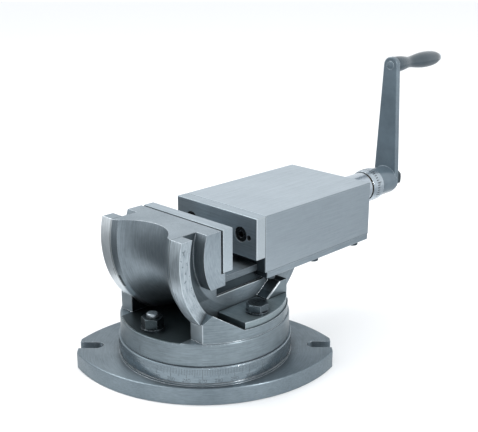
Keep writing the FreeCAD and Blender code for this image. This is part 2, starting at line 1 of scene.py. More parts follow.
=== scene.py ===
"""Looks of the two-way machine vise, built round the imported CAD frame.

The CAD nodes keep their shape and get metal, oxide or enamel made of shader nodes. Those with long sharp
edges are shown as copies whose edges are rounded a little. Added pieces are the engraved scales with their
numerals, the index marks, and the riveted end of the grip's spindle. Blender works in metres; lengths named
here are in millimetres unless a comment says otherwise."""

import json
import math

import bmesh
import bpy
from mathutils import Matrix, Vector

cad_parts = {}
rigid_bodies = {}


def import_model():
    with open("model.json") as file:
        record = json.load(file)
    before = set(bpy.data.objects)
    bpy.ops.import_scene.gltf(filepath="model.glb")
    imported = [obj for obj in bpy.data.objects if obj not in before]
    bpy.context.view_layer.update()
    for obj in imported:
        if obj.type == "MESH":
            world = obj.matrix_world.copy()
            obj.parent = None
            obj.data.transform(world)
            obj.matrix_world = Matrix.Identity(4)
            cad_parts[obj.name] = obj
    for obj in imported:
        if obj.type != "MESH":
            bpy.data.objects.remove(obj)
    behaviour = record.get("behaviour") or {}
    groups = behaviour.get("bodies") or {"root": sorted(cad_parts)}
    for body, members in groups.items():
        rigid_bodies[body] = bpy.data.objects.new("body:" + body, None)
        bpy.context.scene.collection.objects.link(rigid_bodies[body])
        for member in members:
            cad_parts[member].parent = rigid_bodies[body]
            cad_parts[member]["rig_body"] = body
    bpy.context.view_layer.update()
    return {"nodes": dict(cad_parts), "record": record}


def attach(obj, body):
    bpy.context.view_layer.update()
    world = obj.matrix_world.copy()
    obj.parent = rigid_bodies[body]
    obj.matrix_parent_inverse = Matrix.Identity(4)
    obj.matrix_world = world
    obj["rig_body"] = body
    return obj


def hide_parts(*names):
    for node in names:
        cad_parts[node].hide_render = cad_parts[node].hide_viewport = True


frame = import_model()

MM = 0.001
SWUNG = math.radians(45.0)              # how far the vise stands swung round on its base
HERE = Matrix.Rotation(SWUNG, 4, "Z")   # the vise's own directions to the row frame
TILT_AXIS = (9.0, 122.5)                # x and z of the tilt axis, in the vise's own directions
SCREW_Z = 117.5                         # height of the feed screw's axis
DRUM_R, DRUM_LOW, DRUM_TOP = 77.2, 18.2, 31.1     # the base's graduated band
RING_R, RING_LOW = 75.2, 32.6           # the swivel ring above it
SLEEVE_R, SLEEVE_END = 15.0, 226.0
DIAL_R, DIAL_LOW = 17.0, 232.5
ARM_FRONT, GRIP_Z = 267.0, 240.0        # the crank arm's front face, and the height of the grip's spindle
JAW_FRONT = 25.1                        # front of the movable jaw block, behind its plate
SLOPE_AT = (27.5, 66.6)                 # the foot (x, z) of the bed's sloping cut, by the clamp plate
SLOPE_TOP_X = 43.5
SLOPE_RUN, SLOPE_RISE = 0.802, 0.597    # the cut's direction
HALF = 50.0                             # half width of the jaws and of the rails
SIDE = 37.5                             # half width of the bed between its rails
SHOULDER_HALF = 36.5                    # where the waist's shoulders meet the rails
NECK_HALF, WAY_HALF = 35.5, 40.0        # half widths of the neck below the ways, and of the ways
RAIL_OUTER_R, RAIL_INNER_R = 82.0, 71.0
BLOCK_R = 56.0                          # the fixed jaw block's round back
BED_LEDGE, WAY_BOTTOM, WAY_TOP = 80.3, 91.6, 97.2       # heights on the bed
UNDERCUT_FRONT = -21.5                  # front end of the cut below the ways
RING_TOP, WEB_TOP = 52.0, 78.5          # heights on the swivel body
CHANNEL_HALF = 38.0                     # half the gap between the cheeks
CHEEK_FRONT = -52.0                     # the cheeks' front ends
JAW_BOTTOM = 91.5                       # underside of the movable jaw, on its keepers

JAW_SHADE_AND_SEAM = (0.03, 0.045, 0.055)             # painted shade under the movable jaw and its plate; also the dark line of the keepers' seam
# painted shade in the bed's recesses
RECESS_SHADE = (0.028, 0.042, 0.05)
WAIST_GREY = (0.03, 0.042, 0.05)
# painted shade in the channel between the cheeks
CHANNEL_SHADE = (0.022, 0.034, 0.038)
DING = (0.13, 0.16, 0.18)
EDGE_WHITE = (0.86, 0.92, 0.95)
RUBBED_OXIDE_AND_GLINT = (0.55, 0.62, 0.67)
RUBBED_ENAMEL_AND_SHEEN = (0.50, 0.57, 0.62)


def vise_point(x, y, z):
    """A point given in the vise's own directions, millimetres, as the row frame's in metres."""
    return HERE @ Vector((x * MM, y * MM, z * MM))


# ---- materials ----------------------------------------------------------------------------------------
class Nodes:
    """A material's node tree, with short calls for the nodes used here."""

    def __init__(self, name):
        self.material = bpy.data.materials.new(name)
        self.material.use_nodes = True
        self.tree = self.material.node_tree
        self.shader = self.tree.nodes["Principled BSDF"]
        coords = self.new("ShaderNodeTexCoord")
        self.place, self.normal = coords.outputs["Object"], coords.outputs["Normal"]

    def new(self, kind, **settings):
        """A node with its properties set, and with its inputs set where a name starts with in_."""
        node = self.tree.nodes.new(kind)
        for key, value in settings.items():
            if key.startswith("in_"):
                node.inputs[key[3:].replace("_", " ")].default_value = value
            else:
                setattr(node, key, value)
        return node

    def link(self, a, b):
        self.tree.links.new(a, b)

    def math(self, operation, a, b=0.0, c=0.0):
        node = self.new("ShaderNodeMath", operation=operation)
        for socket, value in zip(node.inputs, (a, b, c)):
            if isinstance(value, (int, float)):
                socket.default_value = value
            else:
                self.link(value, socket)
        return node.outputs[0]

    def times(self, *values):
        result = values[0]
        for value in values[1:]:
            result = self.math("MULTIPLY", result, value)
        return result

    def most(self, *values):
        result = values[0]
        for value in values[1:]:
            result = self.math("MAXIMUM", result, value)
        return result

    def size(self, value):
        return self.math("ABSOLUTE", value)

    def distance(self, a, b):
        """Distance from an axis, from the two coordinates across it."""
        return self.math("SQRT", self.math("ADD", self.math("POWER", a, 2.0), self.math("POWER", b, 2.0)))

    def split(self, vector):
        parts = self.new("ShaderNodeSeparateXYZ")
        self.link(vector, parts.inputs[0])
        return parts.outputs

    def join(self, x, y, z):
        joined = self.new("ShaderNodeCombineXYZ")
        for value, socket in zip((x, y, z), joined.inputs):
            self.link(value, socket)
        return joined.outputs[0]

    def moved(self, turn=(0, 0, 0), scale=(1, 1, 1), origin=(0, 0, 0)):
        """Object coordinates taken about an origin, then turned, then scaled."""
        shift = self.new("ShaderNodeVectorMath", operation="SUBTRACT")
        self.link(self.place, shift.inputs[0])
        shift.inputs[1].default_value = origin
        spun = self.new("ShaderNodeMapping", in_Rotation=turn)
        self.link(shift.outputs[0], spun.inputs["Vector"])
        sized = self.new("ShaderNodeMapping", in_Scale=scale)
        self.link(spun.outputs[0], sized.inputs["Vector"])
        return sized.outputs[0]

    def noise(self, vector, scale, detail, rough):
        node = self.new("ShaderNodeTexNoise", in_Scale=scale, in_Detail=detail, in_Roughness=rough)
        self.link(vector, node.inputs["Vector"])
        return node.outputs["Fac"]

    def ramp(self, value, low, high, out_low=0.0, out_high=1.0):
        node = self.new("ShaderNodeMapRange", clamp=True, in_From_Min=low, in_From_Max=high,
                        in_To_Min=out_low, in_To_Max=out_high)
        self.link(value, node.inputs["Value"])
        return node.outputs[0]

    def within(self, value, low, high, soft=0.2):
        """1 between low and high, falling to 0 over the soft width outside them."""
        return self.times(self.ramp(value, low - soft, low), self.ramp(value, high + soft, high))

    def mix(self, fac, a, b, blend="MIX"):
        node = self.new("ShaderNodeMix", data_type="RGBA", blend_type=blend)
        for socket, value in ((node.inputs[0], fac), (node.inputs[6], a), (node.inputs[7], b)):
            if isinstance(value, (int, float)):
                socket.default_value = value
            elif isinstance(value, tuple):
                socket.default_value = (*value, 1.0)
            else:
                self.link(value, socket)
        return node.outputs[2]

    def crevice(self, reach=12.0, darkest=0.4, alone=False):
        """Painted shade in corners: 1 in the open, falling to the darkest value."""
        node = self.new("ShaderNodeAmbientOcclusion", samples=6, only_local=alone, in_Distance=reach * MM)
        return self.ramp(node.outputs["AO"], 0.3, 0.85, darkest, 1.0)

    def rounded_edges(self, radius):
        """The normal with edges rounded, and its dot product with the flat one, which drops at edges."""
        rounded = self.new("ShaderNodeBevel", samples=4, in_Radius=radius * MM)
        flat = self.new("ShaderNodeNewGeometry")
        dot = self.new("ShaderNodeVectorMath", operation="DOT_PRODUCT")
        self.link(rounded.outputs[0], dot.inputs[0])
        self.link(flat.outputs["Normal"], dot.inputs[1])
        return rounded.outputs[0], dot.outputs["Value"]

    def bump(self, height, strength, depth, normal):
        """Bump of a height onto a normal, into the shader; the depth is in metres."""
        bump = self.new("ShaderNodeBump", in_Strength=strength, in_Distance=depth)
        self.link(height, bump.inputs["Height"])
        self.link(normal, bump.inputs["Normal"])
        self.link(bump.outputs[0], self.shader.inputs["Normal"])


# Zones change a metal's colour where a surface is worn or dirty, and paint shade and highlights into it in
# places. In them, side is the distance from the vise's middle plane, and radius the distance from the tilt
# axis.
def vise_millimetres(n):
    """x, y and z in the vise's own directions, in millimetres."""
    return n.split(n.moved(turn=(0, 0, -SWUNG), scale=(1000, 1000, 1000)))


def facing_up(n):
    """How far a face looks up or down, from 0 to 1."""
    return n.size(n.split(n.normal)[2])


def bed_zones(n, colour):
    """Rails rubbed bright by the cradle; painted shade in the recesses beside the ways, inside the rails and
    behind the slope; the slope's and the ledge's edges rubbed bright and painted as highlights.
    """
    x, y, z = vise_millimetres(n)
    side = n.size(y)
    dx, dz = n.math("SUBTRACT", x, TILT_AXIS[0]), n.math("SUBTRACT", z, TILT_AXIS[1])
    radius = n.distance(dx, dz)
    angle = n.math("ARCTAN2", dx, dz)
    round_axis = n.join(radius, n.math("MULTIPLY", angle, 4.0), n.math("MULTIPLY", y, 0.4))
    scratches = n.noise(round_axis, 1.6, 4.0, 0.7)
    scratched = n.ramp(scratches, 0.32, 0.62)
    dings = n.noise(n.place, 330.0, 2.0, 0.5)
    outer_face = n.ramp(side, HALF - 1.2, HALF - 0.6)
    off_slope = n.math("ADD", n.math("MULTIPLY_ADD", x, -SLOPE_RISE,
                                     SLOPE_RISE * SLOPE_AT[0] - SLOPE_RUN * SLOPE_AT[1]),
                       n.math("MULTIPLY", z, SLOPE_RUN))
    slope_length = n.within(x, SLOPE_AT[0] - 0.5, SLOPE_TOP_X + 0.5)

    # The spool's waist is shaded on its front; the rails' outer faces are scratched, and their rims bright.
    waist = n.times(n.ramp(side, SHOULDER_HALF + 0.3, SHOULDER_HALF - 0.5), n.ramp(x, -8.0, -14.0),
                    n.ramp(facing_up(n), 0.97, 0.8), 0.28)
    colour = n.mix(waist, colour, WAIST_GREY)
    worn = n.mix(scratched, (0.22, 0.265, 0.30), (0.45, 0.51, 0.55))
    worn = n.mix(n.ramp(dings, 0.62, 0.70, 0.0, 0.75), worn, DING)
    rail_face = n.times(n.ramp(side, HALF - 0.8, HALF - 0.4),
                        n.ramp(radius, RAIL_INNER_R - 0.3, RAIL_INNER_R + 0.3))
    colour = n.mix(rail_face, colour, worn)
    bright = n.mix(scratched, (0.38, 0.44, 0.48), (0.66, 0.74, 0.79))
    bright = n.mix(n.ramp(y, -10.0, 10.0, 0.0, 0.55), bright, (0.92, 0.95, 0.97))
    rim = n.times(n.ramp(side, SHOULDER_HALF - 0.5, SHOULDER_HALF + 0.5),
                  n.ramp(radius, RAIL_OUTER_R - 0.8, RAIL_OUTER_R - 0.4), n.ramp(y, -20.0, 20.0, 0.65, 1.0))
    colour = n.mix(rim, colour, bright)
    # Painted shade on the rails' outer faces behind the slope, in the movable jaw's shadow.
    beyond_slope = n.times(n.ramp(off_slope, -1.3, -2.2), n.ramp(x, SLOPE_AT[0] + 0.5, SLOPE_AT[0] + 2.5),
                           outer_face, 0.6)
    colour = n.mix(beyond_slope, colour, (0.10, 0.13, 0.14))

    # Painted shade darkens the recesses.
    hollow = n.times(n.within(radius, BLOCK_R + 1.0, RAIL_INNER_R + 0.2),
                     n.within(side, SIDE + 0.4, HALF - 1.0))
    core = n.times(n.within(side, SIDE - 0.3, SIDE + 0.3), n.ramp(radius, BLOCK_R + 0.5, BLOCK_R + 1.5),
                   n.ramp(z, BED_LEDGE + 1.2, BED_LEDGE - 0.5, 0.75, 0.35))
    neck = n.times(n.within(side, NECK_HALF - 1.0, NECK_HALF + 1.0),
                   n.within(z, BED_LEDGE - 0.1, WAY_BOTTOM + 0.2))
    lip = n.times(n.within(side, WAY_HALF - 0.5, WAY_HALF + 0.2),
                  n.within(z, WAY_BOTTOM - 0.6, WAY_TOP + 0.8), 0.55)
    slope = n.times(n.within(off_slope, -0.6, 0.4), slope_length, n.within(side, SIDE + 0.5, HALF - 1.0), 0.8)
    dark = n.most(hollow, core, neck, lip, slope)
    colour = n.mix(n.math("MULTIPLY", dark, 0.92), colour, RECESS_SHADE)

    # The slope's outer edge and the ledge's are rubbed to bare metal, and painted bright as the highlights
    # those edges catch.
    slope_edge = n.times(n.within(off_slope, -1.3, 0.6), slope_length, outer_face)
    ledge_edge = n.times(n.within(z, BED_LEDGE - 0.7, BED_LEDGE + 0.3),
                         n.within(x, UNDERCUT_FRONT + 0.5, 30.0),
                         n.within(side, SIDE - 0.6, SIDE + 0.5), 0.75)
    edges = n.times(n.most(slope_edge, ledge_edge), n.ramp(scratches, 0.25, 0.5, 0.6, 1.0))
    return n.mix(edges, colour, EDGE_WHITE)


def body_zones(n, colour):
    """Painted shade in the channel between the cheeks, under the bed; the cheeks' front ends are milled
    bright.
    """
    x, y, z = vise_millimetres(n)
    side = n.size(y)
    channel = n.times(n.ramp(side, CHANNEL_HALF + 0.4, CHANNEL_HALF + 0.1),
                      n.within(z, RING_TOP - 0.4, WEB_TOP + 1.5))
    front = n.times(n.within(x, CHEEK_FRONT - 0.3, CHEEK_FRONT + 0.3),
                    n.ramp(z, RING_TOP + 0.4, RING_TOP + 1.0),
                    n.ramp(side, CHANNEL_HALF + 0.4, CHANNEL_HALF + 0.8))
    # Painted shade darkens the channel.
    colour = n.mix(n.math("MULTIPLY", channel, 0.88), colour, CHANNEL_SHADE)
    return n.mix(n.math("MULTIPLY", front, 0.7), colour, (0.46, 0.52, 0.56))


def dulled_chamfers(n, colour):
    # Chamfers that face half up are made darker.
    chamfer = n.within(facing_up(n), 0.45, 0.9, 0.06)
    return n.mix(n.times(chamfer, 0.6), colour, DING)


def jaw_zones(n, colour):
    """Sides painted darker than the ground top, as shade; painted shade on the front below the plate, and a
    dark line at the keeper's seam.
    """
    x, y, z = vise_millimetres(n)
    side = n.size(y)
    # Painted shade: faces that don't look up are darker than the top.
    colour = n.mix(n.ramp(facing_up(n), 0.7, 0.4, 0.0, 0.30), colour, (0.12, 0.15, 0.17))
    # Painted shade on the front below the overhanging plate; the seam is a dark joint line.
    front = n.times(n.ramp(x, JAW_FRONT + 0.8, JAW_FRONT + 0.3), n.ramp(side, HALF - 0.1, HALF - 0.6), 0.85)
    seam = n.times(n.within(z, JAW_BOTTOM - 0.3, JAW_BOTTOM + 0.4),
                   n.ramp(side, HALF - 0.6, HALF - 0.1), 0.6)
    return n.mix(n.most(front, seam), dulled_chamfers(n, colour), JAW_SHADE_AND_SEAM)


def keeper_zones(n, colour):
    """The front end carries the same painted shade as the jaw's front, under the jaw."""
    x = vise_millimetres(n)[0]
    # Painted shade under the movable jaw.
    return n.mix(n.ramp(x, JAW_FRONT + 2.6, JAW_FRONT + 2.2, 0.0, 0.85), colour, JAW_SHADE_AND_SEAM)


def bright_ends(n, colour, share, end_colour):
    end = n.ramp(n.size(vise_millimetres(n)[1]), HALF - 0.7, HALF - 0.3)
    return n.mix(n.math("MULTIPLY", end, share), dulled_chamfers(n, colour), end_colour)


def plate_zones(n, colour):
    """The plate's ends are ground bright."""
    return bright_ends(n, colour, 0.32, (0.60, 0.66, 0.69))


def moving_plate_zones(n, colour):
    """The ends are brighter still, and the face gets darker towards the ways."""
    z = vise_millimetres(n)[2]
    colour = n.mix(n.ramp(z, 112.0, 88.0, 0.0, 0.6), colour, (0.10, 0.13, 0.155))
    return bright_ends(n, colour, 0.5, (0.62, 0.67, 0.69))


def base_zones(n, colour):
    """The flange is a little duller than the drum it carries."""
    flange = n.ramp(n.split(n.place)[2], (DRUM_LOW - 0.6) * MM, (DRUM_LOW - 1.2) * MM, 0.0, 0.10)
    return n.mix(flange, colour, (0.085, 0.11, 0.125))


def scale_band(n):
    """1 where the drum is finished smoother, to carry the scale."""
    return n.within(n.split(n.place)[2], (DRUM_LOW + 0.1) * MM, (DRUM_TOP + 0.1) * MM, 0.3 * MM)


def lathe_marks(n, axis):
    """Fine rings round a turned surface's axis: noise read mostly along the radius and the axis."""
    origin, turn = {"up": ((0, 0, 0), 0.0),
                    "tilt": (tuple(vise_point(TILT_AXIS[0], 0, TILT_AXIS[1])), -SWUNG),
                    "screw": ((0, 0, SCREW_Z * MM), -SWUNG)}[axis]
    x, y, z = n.split(n.moved(origin=origin, turn=(0, 0, turn)))
    a, b, along = {"up": (x, y, z), "tilt": (x, z, y), "screw": (y, z, x)}[axis]
    angle = n.math("MULTIPLY", n.math("ARCTAN2", a, b), 0.004)
    return n.noise(n.join(n.distance(a, b), along, angle), 1400.0, 2.0, 0.6)


def ground_marks(n, along):
    """Straight fine scratches: noise squeezed hard across one direction."""
    scale = {"x": (30, 900, 900), "y": (900, 30, 900)}[along]
    return n.noise(n.moved(turn=(0, 0, -SWUNG), scale=scale), 1.0, 2.0, 0.6)


def metal(name, base, dark, rough, marks, mark_depth, edge=(0.7, 0.76, 0.81), edge_share=0.75, cloud=0.35,
          zones=None, brushed=0.0, darkest=0.4, alone=False, smoother=None):
    """Bare metal: tool marks, a cloudy film of oil, painted shade in corners, and edges rubbed bright that
    also serve as painted highlights.

    marks is the axis that lathe marks go round (up, tilt or screw), or the direction that scratches run in (x
    or y). brushed is the anisotropy, alone keeps other pieces from darkening this one's corners in the
    painted shade, and smoother is where the metal is finished finer."""
    n = Nodes(name)
    clouds = n.noise(n.place, 22.0, 4.0, 0.6)
    small = n.noise(n.place, 260.0, 3.0, 0.65)
    streaks = (ground_marks if marks in ("x", "y") else lathe_marks)(n, marks)
    tone = n.math("MULTIPLY_ADD", n.ramp(clouds, 0.3, 0.72), cloud, n.math("MULTIPLY", small, 0.25))
    tone = n.math("MULTIPLY_ADD", n.ramp(streaks, 0.3, 0.7), 0.35, tone)
    colour = n.mix(n.ramp(tone, 0.15, 0.85), base, dark)
    if zones:
        colour = zones(n, colour)
    # Painted shade in corners.
    colour = n.mix(1.0, colour, n.crevice(darkest=darkest, alone=alone), "MULTIPLY")
    if brushed:
        n.shader.inputs["Anisotropic"].default_value = brushed
        n.shader.inputs["Anisotropic Rotation"].default_value = 0.25
        n.link(n.new("ShaderNodeTangent", direction_type="RADIAL", axis="Z").outputs[0],
               n.shader.inputs["Tangent"])
    # Edges rubbed bright, which also serve as painted highlights along them.
    rounded, agreement = n.rounded_edges(0.5)
    rub_and_glint = n.math("MULTIPLY", n.ramp(agreement, 0.998, 0.93), n.ramp(small, 0.3, 0.6, 0.35, 1.0))
    n.link(n.mix(n.math("MULTIPLY", rub_and_glint, edge_share), colour, edge), n.shader.inputs["Base Color"])
    n.shader.inputs["Metallic"].default_value = 0.9
    roughness = n.math("MULTIPLY_ADD", rub_and_glint, -0.08, n.ramp(tone, 0.1, 0.9, rough - 0.07, rough + 0.09))
    if smoother:
        roughness = n.math("MULTIPLY_ADD", smoother(n), -0.20, roughness)
    n.link(roughness, n.shader.inputs["Roughness"])
    n.bump(streaks, mark_depth * 10, 0.00006, rounded)
    return n.material


def black_oxide(name, low, high, shine=0.75):
    """Blackened steel, rubbed towards bare metal at its edges; the rubbed edges also serve as painted
    highlights.
    """
    n = Nodes(name)
    small = n.noise(n.place, 420.0, 3.0, 0.6)
    clouds = n.noise(n.place, 60.0, 3.0, 0.6)
    # Edges rubbed bright, which also serve as painted highlights along them.
    rounded, agreement = n.rounded_edges(0.4)
    rub_and_glint = n.math("MULTIPLY", n.ramp(agreement, 0.99, 0.85), n.ramp(small, 0.35, 0.65, 0.2, 0.9))
    colour = n.mix(n.ramp(clouds, 0.3, 0.7), low, high)
    # Painted shade in corners.
    colour = n.mix(1.0, colour, n.crevice(5.0, 0.25), "MULTIPLY")
    n.link(n.mix(n.math("MULTIPLY", rub_and_glint, shine), colour, RUBBED_OXIDE_AND_GLINT), n.shader.inputs["Base Color"])
    n.shader.inputs["Metallic"].default_value = 0.85
    n.link(n.ramp(small, 0.2, 0.8, 0.22, 0.38), n.shader.inputs["Roughness"])
    n.bump(small, 0.25, 0.00005, rounded)
    return n.material


def enamel(name, base, dark, rough):
    """Thin satin paint over a casting: faint orange peel, dulled in patches."""
    n = Nodes(name)
    peel = n.noise(n.place, 700.0, 2.0, 0.5)
    clouds = n.noise(n.place, 35.0, 4.0, 0.6)
    # Edges rubbed towards bare paint, which also serve as painted highlights along them.
    rounded, agreement = n.rounded_edges(0.8)
    rub_and_glint = n.math("MULTIPLY", n.ramp(agreement, 0.998, 0.93), n.ramp(peel, 0.4, 0.6, 0.3, 1.0))
    colour = n.mix(n.ramp(clouds, 0.3, 0.72), base, dark)
    n.link(n.mix(n.math("MULTIPLY", rub_and_glint, 0.8), colour, RUBBED_ENAMEL_AND_SHEEN), n.shader.inputs["Base Color"])
    n.shader.inputs["Metallic"].default_value = 0.35
    n.link(n.ramp(clouds, 0.2, 0.8, rough - 0.05, rough + 0.08), n.shader.inputs["Roughness"])
    n.shader.inputs["Coat Weight"].default_value = 0.45
    n.shader.inputs["Coat Roughness"].default_value = 0.16
    n.bump(peel, 0.18, 0.00008, rounded)
    return n.material


def ink(name, low, high):
    """The filling of an engraved line, matt and a little patchy."""
    n = Nodes(name)
    specks = n.noise(n.place, 900.0, 3.0, 0.6)
    n.link(n.mix(n.ramp(specks, 0.3, 0.8), low, high), n.shader.inputs["Base Color"])
    n.link(n.ramp(specks, 0.2, 0.8, 0.55, 0.8), n.shader.inputs["Roughness"])
    return n.material


def paper(name, colour):
    n = Nodes(name)
    n.shader.inputs["Base Color"].default_value = (*colour, 1)
    n.shader.inputs["Roughness"].default_value = 0.9
    return n.material


# Finishes by the record's material slots.
FINISH = {
    "base_iron": metal("base_turned_iron", (0.235, 0.285, 0.32), (0.12, 0.155, 0.18), 0.38, "up", 0.06,
                       brushed=0.7, smoother=scale_band, alone=True, zones=base_zones),
    "body_iron": metal("body_turned_iron", (0.23, 0.28, 0.31), (0.12, 0.15, 0.17), 0.38, "up", 0.06,
                       brushed=0.6, edge_share=0.9, zones=body_zones),
    "bed_iron": metal("bed_turned_iron", (0.36, 0.42, 0.465), (0.19, 0.23, 0.26), 0.42, "tilt", 0.07,
                      zones=bed_zones),
    "jaw_iron": metal("jaw_ground_iron", (0.445, 0.51, 0.56), (0.33, 0.38, 0.42), 0.42, "x", 0.03, cloud=0.2,
                      darkest=0.5, zones=jaw_zones, edge_share=0.2),
    "plate_steel": metal("plate_ground_steel", (0.40, 0.47, 0.52), (0.25, 0.30, 0.34), 0.36, "y", 0.04,
                         cloud=0.25, zones=plate_zones, edge_share=0.3),
    "clamp_steel": metal("clamp_milled_steel", (0.27, 0.33, 0.355), (0.14, 0.18, 0.195), 0.44, "y", 0.06),
    "black_steel": black_oxide("black_oxide_steel", (0.034, 0.046, 0.056), (0.068, 0.088, 0.102)),
    "bright_steel": metal("bright_turned_steel", (0.56, 0.62, 0.67), (0.36, 0.41, 0.46), 0.28, "screw", 0.06),
    "dial_steel": metal("dial_satin_chrome", (0.52, 0.58, 0.63), (0.27, 0.32, 0.36), 0.26, "screw", 0.05),
    "crank_iron": enamel("crank_enamel", (0.125, 0.17, 0.205), (0.075, 0.105, 0.13), 0.34),
    "nut_bronze": metal("machined_bronze", (0.60, 0.40, 0.19), (0.36, 0.22, 0.10), 0.34, "screw", 0.05,
                        edge=(0.8, 0.6, 0.35)),
}

# Nodes whose finish, wear or painted shade isn't their slot's usual one.
MOVING_PLATE = metal("moving_plate_ground_steel", (0.40, 0.47, 0.52), (0.25, 0.30, 0.34), 0.36, "y", 0.04,
                     cloud=0.25, zones=moving_plate_zones, edge_share=0.3)
KEEPER = metal("keeper_milled_steel", (0.31, 0.365, 0.405), (0.19, 0.23, 0.26), 0.42, "x", 0.05,
               zones=keeper_zones)
# A darker copy of the oxide for the swivel nuts: painted shade.
SHADED_NUT_OXIDE = black_oxide("black_oxide_nut_painted_shade", (0.012, 0.019, 0.022), (0.032, 0.044, 0.050), 0.5)
# A darker copy still for screws and dowels sunk in the plates' holes: painted shade of the holes.
IN_HOLE = black_oxide("black_oxide_in_hole", (0.012, 0.015, 0.017), (0.03, 0.035, 0.04), 0.2)
STUD_END = black_oxide("stud_end_rubbed_bright", (0.20, 0.235, 0.26), (0.42, 0.47, 0.50))
GRIP = enamel("grip_enamel", (0.052, 0.076, 0.095), (0.028, 0.044, 0.056), 0.27)
OWN_FINISH = {"swivel_nut_front": SHADED_NUT_OXIDE, "swivel_nut_rear": SHADED_NUT_OXIDE, "swivel_t_bolts": STUD_END,
              "fixed_jaw_dowels": IN_HOLE, "movable_jaw_dowels": IN_HOLE, "fixed_jaw_screws": IN_HOLE,
              "movable_jaw_screws": IN_HOLE, "movable_jaw_plate": MOVING_PLATE, "keeper_left": KEEPER,
              "keeper_right": KEEPER, "crank_grip": GRIP}

SCALE_INK = ink("scale_ink", (0.022, 0.028, 0.032), (0.09, 0.11, 0.125))
DIAL_INK = ink("dial_ink", (0.006, 0.007, 0.008), (0.02, 0.022, 0.025))


# ---- pieces -------------------------------------------------------------------------------------------
def show(name, bm, material, body):
    """Turn a bmesh into a piece that rides on a body."""
    mesh = bpy.data.meshes.new(name)
    bm.to_mesh(mesh)
    bm.free()
    mesh.materials.append(material)
    piece = bpy.data.objects.new(name, mesh)
    bpy.context.scene.collection.objects.link(piece)
    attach(piece, body)
    return piece


# Nodes with long sharp edges, and the radius that their edges are rounded to.
EDGE_ROUND = {"base": 0.5, "swivel_body": 0.6, "vise_bed": 0.45, "movable_jaw": 0.12, "fixed_jaw_plate": 0.12,
              "movable_jaw_plate": 0.08, "tilt_clamp_plate_left": 0.3, "tilt_clamp_plate_right": 0.3,
              "keeper_left": 0.3, "keeper_right": 0.3, "crank_arm": 0.5, "bearing_sleeve": 0.3,
              "feed_nut": 0.4, "centre_spigot": 0.3, "feed_dial": 0.15}
SHARP = math.radians(26.0)
WELD, SLIVER = 0.004 * MM, 0.003 * MM   # metres: joins the CAD mesh's split corners, and clears specks


def is_sharp(edge):
    return len(edge.link_faces) == 2 and edge.calc_face_angle(0) > SHARP


def rounded_copy(name, radius):
    """A copy of a CAD node, with its sharp edges rounded, stands for the node."""
    source = frame["nodes"][name]
    bm = bmesh.new()
    bm.from_mesh(source.data)
    bmesh.ops.remove_doubles(bm, verts=bm.verts, dist=WELD)
    bmesh.ops.dissolve_degenerate(bm, edges=bm.edges, dist=SLIVER)
    bmesh.ops.bevel(bm, geom=[e for e in bm.edges if is_sharp(e)], offset=radius * MM, offset_type="OFFSET",
                    segments=2, profile=0.5, affect="EDGES", clamp_overlap=True, loop_slide=True)
    for face in bm.faces:
        face.smooth = True
    for edge in bm.edges:
        edge.smooth = not is_sharp(edge)
    piece = show(name + "_finished", bm, source.data.materials[0], source["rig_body"])
    piece.modifiers.new("level", "WEIGHTED_NORMAL").keep_sharp = True
    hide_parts(name)


def finish_cad_nodes():
    """Each CAD node gets its finish; the ones with long sharp edges are shown as rounded copies."""
    for subpart in frame["record"]["subparts"]:
        name, slot_name = subpart["node"], subpart["material_slot"]
        node = frame["nodes"][name]
        node.data.materials.clear()
        node.data.materials.append(OWN_FINISH.get(name, FINISH[slot_name]))
        if name in EDGE_ROUND:
            rounded_copy(name, EDGE_ROUND[name])


def wrap_up(radius, turn=0.0):
    """A flat drawing's (along, up, out) laid round an upright drum; along 0 faces the turn angle."""
    def place(along, up, out):
        a = turn + along / radius
        return Vector(((radius + out) * math.cos(a), (radius + out) * math.sin(a), up)) * MM
    return place


def wrap_screw(radius, turn):
    """The same round the screw's axis: up is measured along the screw."""
    def place(along, up, out):
        a = turn + along / radius
        return vise_point(up, (radius + out) * math.cos(a), SCREW_Z + (radius + out) * math.sin(a))
    return place


